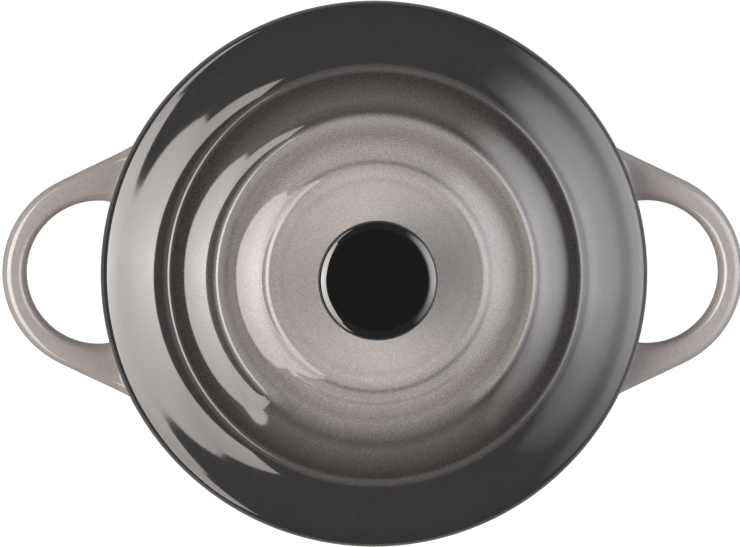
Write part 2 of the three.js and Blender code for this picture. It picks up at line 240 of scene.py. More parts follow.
section = bar_corners()
stations = [ROOT_START * (1 - 2 * k / BAR_STATIONS) for k in range(BAR_STATIONS + 1)]
bar = [[bar_point(angle, across, up) for across, up in section] for angle in stations]
for middle, sign in ((0, 1), (POT_COLUMNS // 2, -1)):
    turned = Matrix.Diagonal((sign, sign, 1))
    loft = []
    for side, end in ((1, bar[0]), (-1, bar[-1])):
        loop = root_loop(middle, side)
        fillet = [loop]
        for t in FILLET_STEPS:
            ring = []
            for vertex, (across, up), tip in zip(loop, section, end):
                foot = bar_meets_wall(side, across, up)
                ring.append(vertex.co * (1 - t) ** 2 + turned @ (foot * 2 * t * (1 - t) + tip * t**2))
            fillet.append([cage.verts.new(point) for point in ring])
        if side > 0:
            loft += fillet
            loft += [[cage.verts.new(turned @ point) for point in ring] for ring in bar]
        else:
            loft += fillet[::-1]
    for first, second in zip(loft, loft[1:]):
        for k in range(len(section)):
            cage.faces.new((first[k - 1], first[k], second[k], second[k - 1]))

bmesh.ops.delete(cage, geom=[vertex for vertex in cage.verts if not vertex.link_faces], context="VERTS")
bmesh.ops.recalc_face_normals(cage, faces=cage.faces)
pot_mesh = bpy.data.meshes.new("glazed_pot")
cage.to_mesh(pot_mesh)
cage.free()
pot_mesh.shade_smooth()
glazed_pot = bpy.data.objects.new("glazed_pot", pot_mesh)
scene.collection.objects.link(glazed_pot)
softening = glazed_pot.modifiers.new("softened clay", "SUBSURF")
softening.levels = 1
softening.render_levels = 1


def add_node(tree, kind, inputs=None, **settings):
    """A node with its settings, and with values or links on its inputs."""
    made = tree.nodes.new(kind)
    for name, value in settings.items():
        setattr(made, name, value)
    for socket, value in (inputs or {}).items():
        if isinstance(value, bpy.types.NodeSocket):
            tree.links.new(value, made.inputs[socket])
        else:
            made.inputs[socket].default_value = value
    return made


def calculate(tree, operation, *values):
    return add_node(tree, "ShaderNodeMath", dict(enumerate(values)), operation=operation).outputs[0]


def blend_colours(tree, share, first, second):
    inputs = {0: share, 6: first, 7: second}
    return add_node(tree, "ShaderNodeMix", inputs, data_type="RGBA").outputs[2]


def map_range(tree, value, start, end, low=0.0, high=1.0, kind="SMOOTHSTEP"):
    inputs = {"Value": value, "From Min": start, "From Max": end, "To Min": low, "To Max": high}
    return add_node(tree, "ShaderNodeMapRange", inputs, interpolation_type=kind).outputs[0]


def noise(tree, place, scale, detail):
    inputs = {"Vector": place, "Scale": scale, "Detail": detail}
    return add_node(tree, "ShaderNodeTexNoise", inputs).outputs["Fac"]


def bump(tree, height, distance):
    """Normal of a surface whose relief is a distance high."""
    inputs = {"Height": height, "Distance": distance, "Strength": 1.0}
    return add_node(tree, "ShaderNodeBump", inputs).outputs["Normal"]


def colour_ramp(tree, value, stops):
    """Colours along a value, from stops (place, colour)."""
    ramp = add_node(tree, "ShaderNodeValToRGB", {"Fac": value})
    elements = ramp.color_ramp.elements
    while len(elements) < len(stops):
        elements.new(1.0)
    for element, (place, colour) in zip(elements, stops):
        element.position = place
        element.color = (*colour, 1.0)
    return ramp.outputs["Color"]


def new_group(name, inputs, outputs):
    """A shader node group with its input and output nodes."""
    group = bpy.data.node_groups.new(name, "ShaderNodeTree")
    for direction, sockets in (("INPUT", inputs), ("OUTPUT", outputs)):
        for socket, kind in sockets.items():
            group.interface.new_socket(socket, in_out=direction, socket_type=f"NodeSocket{kind}")
    return group, group.nodes.new("NodeGroupInput").outputs, group.nodes.new("NodeGroupOutput")


def new_material(name):
    material = bpy.data.materials.new(name)
    material.use_nodes = True
    return material, material.node_tree, material.node_tree.nodes["Principled BSDF"]


def fill(tree, node, **links):
    """Links or values on a node's inputs, named with _ for a space."""
    for name, value in links.items():
        socket = node.inputs[name.replace("_", " ")]
        if isinstance(value, bpy.types.NodeSocket):
            tree.links.new(value, socket)
        else:
            socket.default_value = value


# Glaze skin, for the pot and the lid: a fine speckle in the colour, paler where the melt drew thin over an
# edge, darker with painted shade where the mark is below 0, and the slight waviness of a thick glaze.
SPECKLE_SIZE = 0.17 * MM
CLOUD_SIZE = 9.0 * MM
CLOUD_DEPTH = 0.16  # how much paler the palest cloud is than the darkest
NOISE_MIDDLE = 0.5
PEEL_SIZE = 1.4 * MM
FINE_RELIEF = 0.12  # height of the speckle, as a share of the waviness
THIN_GLAZE = (0.26, 0.246, 0.228, 1)

glaze_skin, given, result = new_group(
    "glaze skin",
    {"Place": "Vector", "Colour": "Color", "Thinness": "Float", "Speckle": "Float"},
    {"Colour": "Color", "Height": "Float"},
)
specks = noise(glaze_skin, given["Place"], 1 / SPECKLE_SIZE, detail=2.0)
clouds = noise(glaze_skin, given["Place"], 1 / CLOUD_SIZE, detail=3.0)
peel = noise(glaze_skin, given["Place"], 1 / PEEL_SIZE, detail=1.0)
uneven = calculate(glaze_skin, "SUBTRACT", specks, NOISE_MIDDLE)
uneven = calculate(glaze_skin, "MULTIPLY", uneven, given["Speckle"])
cloud = calculate(glaze_skin, "MULTIPLY_ADD", clouds, CLOUD_DEPTH, 1 - CLOUD_DEPTH * NOISE_MIDDLE)
gain = calculate(glaze_skin, "ADD", uneven, cloud)
# painted shade: a mark below 0 darkens the colour
gain = calculate(glaze_skin, "ADD", gain, calculate(glaze_skin, "MINIMUM", given["Thinness"], 0.0))
thinned = blend_colours(glaze_skin, given["Thinness"], given["Colour"], THIN_GLAZE)
mottled = add_node(glaze_skin, "ShaderNodeVectorMath", {0: thinned, "Scale": gain}, operation="SCALE")
relief = calculate(glaze_skin, "MULTIPLY_ADD", specks, FINE_RELIEF, peel)
fill(glaze_skin, result, Colour=mottled.outputs["Vector"], Height=relief)

GREIGE = (0.29, 0.27, 0.26)
SMOKE = (0.1, 0.094, 0.089)
CHARCOAL = (0.02, 0.019, 0.0195)
CREAM = (0.62, 0.56, 0.47, 1)
BISCUIT = (0.46, 0.39, 0.31, 1)
PEEL_HEIGHT = 5e-6
GLAZE_INDEX = 1.8
GLAZE_GLOSS = 0.07
CLAY_GLOSS = 0.85
SHADE_RANGE = (8.0 * MM, 34.0 * MM)  # heights between which the sprayed shade fades
BARE_RANGE = (0.4 * MM, 0.2 * MM)  # heights between which the glaze ends above the bare foot
POT_SPECKLE = 0.9

pot_glaze, tree, shader = new_material("pot glaze")
place = add_node(tree, "ShaderNodeTexCoord").outputs["Object"]
height = add_node(tree, "ShaderNodeSeparateXYZ", {0: place}).outputs["Z"]
shade = map_range(tree, height, *SHADE_RANGE)
outside = colour_ramp(tree, shade, [(0.0, CHARCOAL), (0.5, SMOKE), (1.0, GREIGE)])
inside = add_node(tree, "ShaderNodeAttribute", attribute_name="lining").outputs["Fac"]
glaze = blend_colours(tree, inside, outside, CREAM)
skin = add_node(tree, "ShaderNodeGroup", node_tree=glaze_skin)
fill(tree, skin, Place=place, Colour=glaze, Thinness=0.0, Speckle=POT_SPECKLE)
bare = map_range(tree, height, *BARE_RANGE)
colour = blend_colours(tree, bare, skin.outputs["Colour"], BISCUIT)
waves = bump(tree, skin.outputs["Height"], PEEL_HEIGHT)
gloss = map_range(tree, bare, 0.0, 1.0, GLAZE_GLOSS, CLAY_GLOSS)
fill(tree, shader, Base_Color=colour, Roughness=gloss, IOR=GLAZE_INDEX, Normal=waves)
pot_mesh.materials.append(pot_glaze)

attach(glazed_pot, "pot")
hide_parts("pot")


# Lid: a stoneware casting with three stepped rings, of which the middle one is broken at the front. The
# glaze is sprayed charcoal at the edge and fades to greige at the middle. Below, a skirt keeps it in the
# mouth of the pot, and the seat is bare clay.

SKIRT_DEPTH = 4.0 * MM
seat = lid_low.z + SKIRT_DEPTH
LID_EDGE = 2.5 * MM
EDGE_ROUND = 2.2 * MM
EDGE_UNDER_ROUND = 0.5 * MM
CROWN_WIDTH = 2.1 * MM
CROWN_SLOPE = math.radians(31)
CROWN_ROUND = 7.0 * MM
FLANGE_SLOPE = math.radians(8.6)
RING_RADII = (38.35 * MM, 29.35 * MM, 20.0 * MM)
RING_RISES = (3.12 * MM, 2.9 * MM, 2.4 * MM)
RISER_WIDTHS = (3.6 * MM, 3.6 * MM, 3.6 * MM)
CREST_WIDTH = 1.6 * MM
CREST_LIP = 0.1 * MM
CREST_ROUNDS = (1.0 * MM, 1.4 * MM, 1.9 * MM)
TERRACE_ROUND = 17.0 * MM
RING_BREAK = math.radians(45)  # to each side of the front
RING_END = math.radians(13)  # over which the broken ring runs out
DOME_SPRING = 1.8 * MM
DOME_ROUND = 6.0 * MM
LID_WALL = 5.5 * MM
SKIRT_WIDTH = 3.2 * MM
SKIRT_ROUND = 1.1 * MM
SKIRT_CLEARANCE = 1.2 * MM
HOLE_RADIUS = 2.6 * MM
CREST_THINNESS = (0.17, 0.7, 0.25)  # of the glaze, from the outer ring to the inner one
CREST_BANDS = (0.9 * MM, 1.35 * MM, 1.0 * MM)  # half widths of the paler bands on the crests
BAND_INSETS = (-0.2 * MM, 0.35 * MM, -0.2 * MM)  # how far their middles lie in from the crests
RISER_PAINTED_SHADE = (0.0, 0.22, 0.4)  # painted shade: how much darker the glaze is painted in a band on the steep riser below a crest
SHADE_BAND = 0.7 * MM  # half width of the band of painted shade below a crest
# how far in from a crest the middle of the painted shade lies; below 0 it lies out on the riser
SHADE_BAND_INSET = -1.1 * MM

lid_radius = lid_high.x
crown_top = seat + LID_EDGE + CROWN_WIDTH * math.tan(CROWN_SLOPE)
flange_run = lid_radius - RING_RADII[0] - CROWN_WIDTH - RISER_WIDTHS[0]
flange_top = crown_top + flange_run * math.tan(FLANGE_SLOPE)
crests = []
foot = flange_top
for radius, rise in zip(RING_RADII, RING_RISES):
    crests.append((radius, foot, foot + rise))
    foot += rise - CREST_LIP
plateau = foot
underside = plateau - LID_WALL
skirt_outer = mouth_radius - SKIRT_CLEARANCE
skirt_inner = skirt_outer - SKIRT_WIDTH

steps = []
for (radius, foot, crest), run, rounding in zip(crests, RISER_WIDTHS, CREST_ROUNDS):
    steps += [
        (radius + run, foot, TERRACE_ROUND),
        (radius, crest, rounding),
        (radius - CREST_WIDTH, crest - CREST_LIP, rounding),
    ]
lid_outline = rounded_outline(
    [
        (HOLE_RADIUS, underside),
        (crests[-1][0], underside, DOME_ROUND),
        (skirt_inner, seat + DOME_SPRING, DOME_ROUND),
        (skirt_inner, seat - SKIRT_DEPTH, SKIRT_ROUND),
        (skirt_outer, seat - SKIRT_DEPTH, SKIRT_ROUND),
        (skirt_outer, seat),
        (lid_radius, seat, EDGE_UNDER_ROUND),
        (lid_radius, seat + LID_EDGE, EDGE_ROUND),
        (lid_radius - CROWN_WIDTH, crown_top, CROWN_ROUND),
        *steps,
        (HOLE_RADIUS, plateau),
    ],
    arc_step=0.35 * MM,
    side_step=0.6 * MM,
)
edge_row = max(range(len(lid_outline)), key=lambda i: (lid_outline[i].x, lid_outline[i].y))
slope_start = crests[0][0] - CREST_WIDTH
slope_end = crests[2][0] + RISER_WIDTHS[2]
slope_heights = (crests[0][2] - CREST_LIP, crests[2][1])


def slope_height(radius):
    """The plain slope that takes the place of the middle ring at the front."""
    share = (radius - slope_start) / (slope_end - slope_start)
    return slope_heights[0] + share * (slope_heights[1] - slope_heights[0])


def lid_marks(row, point):
    """How far a point drops at the break, how thin its glaze is less the painted shade below the
    crests, and 1 where it lies on the underside.
    """
    on_top = row > edge_row
    broken = on_top and slope_end < point.x < slope_start
    drop = slope_height(point.x) - point.y if broken else 0.0
    thinness_and_shade = 0.0
    rings = zip(RING_RADII, CREST_THINNESS, CREST_BANDS, BAND_INSETS, RISER_PAINTED_SHADE)
    for radius, thin, band, inset, painted_shade in rings:
        from_band = (point.x - radius + inset) / band
        from_shade_band = (point.x - radius + SHADE_BAND_INSET) / SHADE_BAND
        # the paler bands on the crests are thin glaze; the darker bands just below them are painted shade
        thinness_and_shade += thin * max(0.0, 1 - from_band**2) - painted_shade * max(0.0, 1 - from_shade_band**2)
    return drop, thinness_and_shade if on_top else 0.0, 0.0 if on_top else 1.0


HALF_WAVE = 0.5


def turned_piece_tree():
    """Node tree that turns an outline about the Z axis. A mark "drop" lowers it round the front, and a
    mark "waved" cuts a thread or a knurl into it."""
    made = bpy.data.node_groups.new("turned piece", "GeometryNodeTree")
    sizes = {
        "Outline": "Geometry",
        "Segments": "Int",
        "Ring Break": "Float",
        "Run Out": "Float",
        "Wave Depth": "Float",
        "Waves Round": "Float",
        "Waves Along": "Float",
        "Material": "Material",
    }
    for name, kind in sizes.items():
        made.interface.new_socket(name, in_out="INPUT", socket_type=f"NodeSocket{kind}")
    made.interface.new_socket("Piece", in_out="OUTPUT", socket_type="NodeSocketGeometry")
    given = made.nodes.new("NodeGroupInput").outputs
    columns = calculate(made, "ADD", given["Segments"], 1)
    points = add_node(made, "GeometryNodeAttributeDomainSize", {0: given["Outline"]}).outputs["Point Count"]
    inputs = {"Vertices X": points, "Vertices Y": columns}
    grid = add_node(made, "GeometryNodeMeshGrid", inputs).outputs["Mesh"]
    index = made.nodes.new("GeometryNodeInputIndex").outputs[0]
    middle_of_index = calculate(made, "ADD", index, 0.5)
    row = calculate(made, "FLOOR", calculate(made, "DIVIDE", middle_of_index, columns))
    column = calculate(made, "SUBTRACT", index, calculate(made, "MULTIPLY", row, columns))
    turn = calculate(made, "DIVIDE", column, given["Segments"])
    angle = calculate(made, "MULTIPLY", turn, 2 * math.pi)

    def along_outline(field, kind):
        inputs = {"Geometry": given["Outline"], "Value": field, "Index": row}
        return add_node(made, "GeometryNodeSampleIndex", inputs, data_type=kind).outputs[0]

    def mark(name):
        named = add_node(made, "GeometryNodeInputNamedAttribute", {"Name": name}, data_type="FLOAT")
        return along_outline(named.outputs["Attribute"], "FLOAT")

    place = along_outline(made.nodes.new("GeometryNodeInputPosition").outputs[0], "FLOAT_VECTOR")
    place = add_node(made, "ShaderNodeSeparateXYZ", {0: place}).outputs
    from_front = calculate(made, "PINGPONG", angle, math.pi)
    break_end = calculate(made, "SUBTRACT", given["Ring Break"], given["Run Out"])
    share = map_range(made, from_front, break_end, given["Ring Break"], 1.0, 0.0)
    drop = mark("drop")
    height = calculate(made, "MULTIPLY_ADD", drop, share, place["Z"])
    wave = calculate(made, "MULTIPLY", turn, given["Waves Round"])
    wave = calculate(made, "MULTIPLY_ADD", height, given["Waves Along"], wave)
    wave = calculate(made, "DIVIDE", calculate(made, "PINGPONG", wave, HALF_WAVE), HALF_WAVE)
    wave = calculate(made, "MULTIPLY", wave, given["Wave Depth"])
    cut = calculate(made, "MULTIPLY", wave, mark("waved"))
    radius = calculate(made, "SUBTRACT", place["X"], cut)
    across = calculate(made, "MULTIPLY", calculate(made, "SINE", angle), radius)
    deep = calculate(made, "MULTIPLY", calculate(made, "COSINE", angle), radius)
    across = calculate(made, "MULTIPLY", across, -1)
    deep = calculate(made, "MULTIPLY", deep, -1)
    position = add_node(made, "ShaderNodeCombineXYZ", {"X": across, "Y": deep, "Z": height}).outputs[0]
    broken = calculate(made, "GREATER_THAN", calculate(made, "ABSOLUTE", drop), SAME_PLACE)
    whole = calculate(made, "SUBTRACT", 1, calculate(made, "MULTIPLY", broken, share))
    # this mark holds the thin glaze on the crests and the painted shade below them
    kept_marks = {"thinness_and_shade": calculate(made, "MULTIPLY", mark("thinness_and_shade"), whole), "lining": mark("lining")}
    shape = grid
    for name, value in kept_marks.items():
        inputs = {"Geometry": shape, "Name": name, "Value": value}
        stored = add_node(made, "GeometryNodeStoreNamedAttribute", inputs, data_type="FLOAT", domain="POINT")
        shape = stored.outputs[0]
    shape = add_node(made, "GeometryNodeSetPosition", {"Geometry": shape, "Position": position}).outputs[0]
    inputs = {"Geometry": shape, "Distance": SAME_PLACE}
    shape = add_node(made, "GeometryNodeMergeByDistance", inputs).outputs[0]
    shape = add_node(made, "GeometryNodeSetShadeSmooth", {"Geometry": shape}).outputs[0]
    shape = add_node(made, "GeometryNodeRealizeInstances", {"Geometry": shape}).outputs[0]
    inputs = {"Geometry": shape, "Material": given["Material"]}
    shape = add_node(made, "GeometryNodeSetMaterial", inputs).outputs[0]
    add_node(made, "NodeGroupOutput", {0: shape})
    return made


turned_tree = turned_piece_tree()


def turned_piece(name, outline, segments, material, marks=None, **sizes):
    """A plain mesh object of an outline turned about the Z axis, in the frame's own place."""
    points = outline if outline[0].x < TINY else [*outline, outline[0]]
    edges = [(i, i + 1) for i in range(len(points) - 1)]
    mesh = bpy.data.meshes.new(name)
    mesh.from_pydata([(point.x, 0, point.y) for point in points], edges, [])
    for mark, values in (marks or {}).items():
        values = list(values)
        values += values[: len(points) - len(values)]
        mesh.attributes.new(mark, "FLOAT", "POINT").data.foreach_set("value", values)
    piece = bpy.data.objects.new(name, mesh)
    scene.collection.objects.link(piece)
    maker = piece.modifiers.new("turned piece", "NODES")
    maker.node_group = turned_tree
    wanted = {"Segments": segments, "Material": material}
    wanted.update({key.replace("_", " ").title(): value for key, value in sizes.items()})
    for socket in turned_tree.interface.items_tree:
        if socket.in_out == "INPUT" and socket.name in wanted:
            maker[socket.identifier] = wanted[socket.name]
    evaluated = bpy.context.evaluated_depsgraph_get()
    shape = bpy.data.meshes.new_from_object(piece.evaluated_get(evaluated))
    piece.modifiers.remove(maker)
    piece.data = shape
    shape.name = name
    return piece


LID_STOPS = [  # radius in millimetres, colour
    (0.0, (0.355, 0.336, 0.318)),
    (12.0, (0.346, 0.328, 0.31)),
    (16.6, (0.322, 0.304, 0.287)),
    (17.7, (0.288, 0.27, 0.255)),
    (18.7, (0.316, 0.299, 0.281)),
    (21.5, (0.244, 0.229, 0.216)),
    (23.3, (0.247, 0.232, 0.22)),
    (25.9, (0.16, 0.147, 0.135)),
    (27.2, (0.176, 0.163, 0.154)),
    (28.8, (0.117, 0.11, 0.101)),
    (30.6, (0.057, 0.0545, 0.05)),
    (32.2, (0.077, 0.073, 0.066)),
    (34.6, (0.048, 0.0453, 0.0422)),
    (36.0, (0.0325, 0.0306, 0.0293)),
    (38.9, (0.0233, 0.0225, 0.0226)),
    (51.0, (0.0191, 0.0186, 0.0198)),
]
SPECKLE_STOPS = [(18.0, 1.2), (23.0, 2.0), (40.0, 2.3)]  # radius in millimetres, amount
SPRAY_OVAL = (1.015, 0.985, 1.0)  # the sprayed colours reach a little further along Y than along X
LID_UNDER = (0.2, 0.183, 0.17, 1)
COAT_STOPS = [(24.5, 0.62), (30.0, 1.0)]  # radius in millimetres, clear glaze over the colour
LID_INDEX = 1.46
COAT_INDEX = 1.56
BARE_RISE = (0.3 * MM, 0.15 * MM)  # heights above the seat between which the glaze ends
BARE_FROM_SKIRT = (0.4 * MM, 0.8 * MM)  # how far from the skirt's inside and from the edge it ends
BARE_FROM_EDGE = (0.5 * MM, 0.9 * MM)


def value_ramp(tree, value, stops):
    """A number along a value, from stops (place, number)."""
    return colour_ramp(tree, value, [(place, (number,) * 3) for place, number in stops])


def over_lid(stops):
    """Stops with their radii as shares of the lid's."""
    return [(radius * MM / lid_radius, value) for radius, value in stops]


def flattened(tree, axes):
    """A place with its height left out."""
    return add_node(tree, "ShaderNodeCombineXYZ", {"X": axes["X"], "Y": axes["Y"]}).outputs[0]


def length_of(tree, vector):
    return add_node(tree, "ShaderNodeVectorMath", {0: vector}, operation="LENGTH").outputs["Value"]


lid_glaze, tree, shader = new_material("lid glaze")
place = add_node(tree, "ShaderNodeTexCoord").outputs["Object"]
axes = add_node(tree, "ShaderNodeSeparateXYZ", {0: place}).outputs
flat_place = flattened(tree, axes)
from_axis = length_of(tree, flat_place)
inputs = {0: flat_place, 1: SPRAY_OVAL}
sprayed = add_node(tree, "ShaderNodeVectorMath", inputs, operation="MULTIPLY").outputs[0]
share = calculate(tree, "DIVIDE", length_of(tree, sprayed), lid_radius)
top = colour_ramp(tree, share, over_lid(LID_STOPS))
below = add_node(tree, "ShaderNodeAttribute", attribute_name="lining").outputs["Fac"]
# paler bands of thin glaze on the crests, and painted shade below them
thin = add_node(tree, "ShaderNodeAttribute", attribute_name="thinness_and_shade").outputs["Fac"]
glaze = blend_colours(tree, below, top, LID_UNDER)
speckle = value_ramp(tree, share, over_lid(SPECKLE_STOPS))
skin = add_node(tree, "ShaderNodeGroup", node_tree=glaze_skin)
fill(tree, skin, Place=place, Colour=glaze, Thinness=thin, Speckle=speckle)
on_seat = map_range(tree, axes["Z"], *[seat + rise for rise in BARE_RISE])
off_dome = map_range(tree, from_axis, *[skirt_inner + gap for gap in BARE_FROM_SKIRT])
short_of_edge = map_range(tree, from_axis, *[lid_radius - gap for gap in BARE_FROM_EDGE])
bare = calculate(tree, "MULTIPLY", calculate(tree, "MULTIPLY", on_seat, off_dome), short_of_edge)
colour = blend_colours(tree, bare, skin.outputs["Colour"], BISCUIT)
waves = bump(tree, skin.outputs["Height"], PEEL_HEIGHT)
gloss = map_range(tree, bare, 0.0, 1.0, GLAZE_GLOSS, CLAY_GLOSS)
depth = value_ramp(tree, share, over_lid(COAT_STOPS))
coat = calculate(tree, "MULTIPLY", depth, calculate(tree, "SUBTRACT", 1.0, bare))
fill(tree, shader, Base_Color=colour, Roughness=gloss, IOR=LID_INDEX, Normal=waves)
fill(tree, shader, Coat_Weight=coat, Coat_Roughness=GLAZE_GLOSS, Coat_IOR=COAT_INDEX)

# the second marks hold the thin glaze on the crests and the painted shade below them
drops, thinness_and_shade_marks, linings = zip(*[lid_marks(row, point) for row, point in enumerate(lid_outline)])
glazed_lid = turned_piece(
    "glazed_lid",
    lid_outline,
    segments=192,
    material=lid_glaze,
    marks={"drop": drops, "thinness_and_shade": thinness_and_shade_marks, "lining": linings},
    ring_break=RING_BREAK,
    run_out=RING_END,
)
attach(glazed_lid, "lid")
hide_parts("lid")


# Knob gasket: a soft silicone ring that keeps the knob's foot off the glaze and takes up its unevenness.
# It is punched from sheet, and squeezed a little round by the knob.

SHEET_ROUND = 0.25 * MM
SHANK_CLEARANCE = 0.25 * MM
SCREW_RADIUS = 2.0 * MM
DARK_SILICONE = (0.028, 0.028, 0.029)
DUSTY_SILICONE = (0.05, 0.05, 0.05)
HAZE_SCALE = 0.06  # as a share of the grain's scale
HAZE_RANGE = (0.35, 0.7)

fine_grain, given, result = new_group(
    "fine grain",
    {
        "Place": "Vector",
        "Size": "Float",
        "Dark": "Color",
        "Pale": "Color",
        "Smoothest": "Float",
        "Roughest": "Float",
    },
    {"Colour": "Color", "Roughness": "Float", "Height": "Float"},
)
scale = calculate(fine_grain, "DIVIDE", 1.0, given["Size"])
grain = noise(fine_grain, given["Place"], scale, detail=4.0)
haze_scale = calculate(fine_grain, "MULTIPLY", scale, HAZE_SCALE)
haze = noise(fine_grain, given["Place"], haze_scale, detail=2.0)
haze = map_range(fine_grain, haze, *HAZE_RANGE)
grain_colour = blend_colours(fine_grain, grain, given["Dark"], given["Pale"])
spread = calculate(fine_grain, "SUBTRACT", given["Roughest"], given["Smoothest"])
grain_gloss = calculate(fine_grain, "MULTIPLY_ADD", haze, spread, given["Smoothest"])
fill(fine_grain, result, Colour=grain_colour, Roughness=grain_gloss, Height=grain)


def grained_material(name, size, dark, pale, smoothest, roughest, relief, index):
    """A moulded or rubbery surface with a fine grain of a real size and height, in metres."""
    material, tree, shader = new_material(name)
    place = add_node(tree, "ShaderNodeTexCoord").outputs["Object"]
    grain = add_node(tree, "ShaderNodeGroup", node_tree=fine_grain)
    fill(tree, grain, Place=place, Size=size, Dark=(*dark, 1), Pale=(*pale, 1))
    fill(tree, grain, Smoothest=smoothest, Roughest=roughest)
    fill(tree, shader, Base_Color=grain.outputs["Colour"], Roughness=grain.outputs["Roughness"])
    fill(tree, shader, IOR=index, Normal=bump(tree, grain.outputs["Height"], relief))
    return material


def punched_ring(node, rounding):
    """Outline of a flat ring round the screw, in the place of a CAD node."""
    low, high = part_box(node)
    bore = SCREW_RADIUS + SHANK_CLEARANCE
    return rounded_outline(
        [
            (bore, low.z, rounding),
            (high.x, low.z, rounding),
            (high.x, high.z, rounding),
            (bore, high.z, rounding),
        ],
        arc_step=0.08 * MM,
        side_step=0.5 * MM,
    )


silicone = grained_material(
    "dark silicone",
    size=0.12 * MM,
    dark=DARK_SILICONE,
    pale=DUSTY_SILICONE,
    smoothest=0.55,
    roughest=0.75,
    relief=6e-6,
    index=1.42,
)
gasket_outline = punched_ring("knob_gasket", SHEET_ROUND)
soft_gasket = turned_piece("soft_gasket", gasket_outline, segments=72, material=silicone)
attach(soft_gasket, "lid")
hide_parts("knob_gasket")


# Knob bush: a turned brass insert, tapped for the screw, whose two grooves and knurled lands hold it in the
# moulding round it. Its bore is left plain here, because the screw fills it.

bush_low, bush_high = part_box("knob_bush")
BUSH_GROOVE_DEPTH = 0.6 * MM
BUSH_GROOVE_WIDTH = 1.6 * MM
BUSH_END_WALL = 1.2 * MM
BUSH_CHAMFER = 0.3 * MM
THREAD_CLEARANCE = 0.1 * MM
KNURL_DEPTH = 0.22 * MM
KNURLS = 28
SEGMENTS_PER_KNURL = 4
STAIN_SIZE = 1.5 * MM
STAIN_RANGE = (0.4, 0.7)
PALE_BRASS = (0.62, 0.42, 0.15)
DULL_BRASS = (0.36, 0.22, 0.07)

lathe_marks, given, result = new_group(
    "lathe marks",
    {
        "Place": "Vector",
        "Pitch": "Float",
        "Bright": "Color",
        "Dull": "Color",
        "Smoothest": "Float",
        "Roughest": "Float",
    },
    {"Colour": "Color", "Roughness": "Float", "Height": "Float"},
)
axes = add_node(lathe_marks, "ShaderNodeSeparateXYZ", {0: given["Place"]}).outputs
from_axis = length_of(lathe_marks, flattened(lathe_marks, axes))
feed = calculate(lathe_marks, "DIVIDE", calculate(lathe_marks, "ADD", from_axis, axes["Z"]), given["Pitch"])
inputs = {"W": feed, "Scale": 1.0, "Detail": 3.0}
line = add_node(lathe_marks, "ShaderNodeTexNoise", inputs, noise_dimensions="1D").outputs["Fac"]
stain = noise(lathe_marks, given["Place"], 1 / STAIN_SIZE, detail=4.0)
stained = map_range(lathe_marks, stain, *STAIN_RANGE)
metal = blend_colours(lathe_marks, stained, given["Bright"], given["Dull"])
spread = calculate(lathe_marks, "SUBTRACT", given["Roughest"], given["Smoothest"])
metal_gloss = calculate(lathe_marks, "MULTIPLY_ADD", line, spread, given["Smoothest"])
fill(lathe_marks, result, Colour=metal, Roughness=metal_gloss, Height=line)


def turned_metal(name, pitch, bright, dull, smoothest, roughest, relief):
    """Metal with the fine rings that a lathe or a press leaves, of a real pitch and height, in metres."""
    material, tree, shader = new_material(name)
    place = add_node(tree, "ShaderNodeTexCoord").outputs["Object"]
    marks = add_node(tree, "ShaderNodeGroup", node_tree=lathe_marks)
    fill(tree, marks, Place=place, Pitch=pitch, Bright=(*bright, 1), Dull=(*dull, 1))
    fill(tree, marks, Smoothest=smoothest, Roughest=roughest)
    fill(tree, shader, Base_Color=marks.outputs["Colour"], Roughness=marks.outputs["Roughness"])
    fill(tree, shader, Metallic=1.0, Normal=bump(tree, marks.outputs["Height"], relief))
    return material


bush_radius = bush_high.x
bore_radius = SCREW_RADIUS + THREAD_CLEARANCE
bore_end = bush_high.z - BUSH_END_WALL
groove_radius = bush_radius - BUSH_GROOVE_DEPTH
land = (bush_high.z - bush_low.z - 2 * BUSH_GROOVE_WIDTH) / 3
bush_side = [(bush_radius, bush_low.z, BUSH_CHAMFER)]
for groove_start in (bush_low.z + land, bush_low.z + 2 * land + BUSH_GROOVE_WIDTH):
    groove_end = groove_start + BUSH_GROOVE_WIDTH
    bush_side += [(bush_radius, groove_start, BUSH_CHAMFER), (groove_radius, groove_start, BUSH_CHAMFER)]
    bush_side += [(groove_radius, groove_end, BUSH_CHAMFER), (bush_radius, groove_end, BUSH_CHAMFER)]
bush_outline = rounded_outline(
    [
        (0, bore_end),
        (bore_radius, bore_end, BUSH_CHAMFER),
        (bore_radius, bush_low.z, BUSH_CHAMFER),
        *bush_side,
        (bush_radius, bush_high.z, BUSH_CHAMFER),
        (0, bush_high.z),
    ],
    arc_step=0.1 * MM,
    side_step=0.3 * MM,
)
knurled = [1.0 if point.x > bush_radius - SAME_PLACE else 0.0 for point in bush_outline]
brass = turned_metal(
    "turned brass",
    pitch=0.06 * MM,
    bright=PALE_BRASS,
    dull=DULL_BRASS,
    smoothest=0.25,
    roughest=0.42,
    relief=2e-6,
)
brass_bush = turned_piece(
    "brass_bush",
    bush_outline,
    segments=KNURLS * SEGMENTS_PER_KNURL,
    material=brass,
    marks={"waved": knurled},
    wave_depth=KNURL_DEPTH,
    waves_round=float(KNURLS),
)
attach(brass_bush, "lid")
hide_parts("knob_bush")


# Knob: a black heat-resistant moulding, compression moulded round the bush and polished. Its flat top
# falls away slightly before the rounded edge, and its neck is waisted for the fingers.

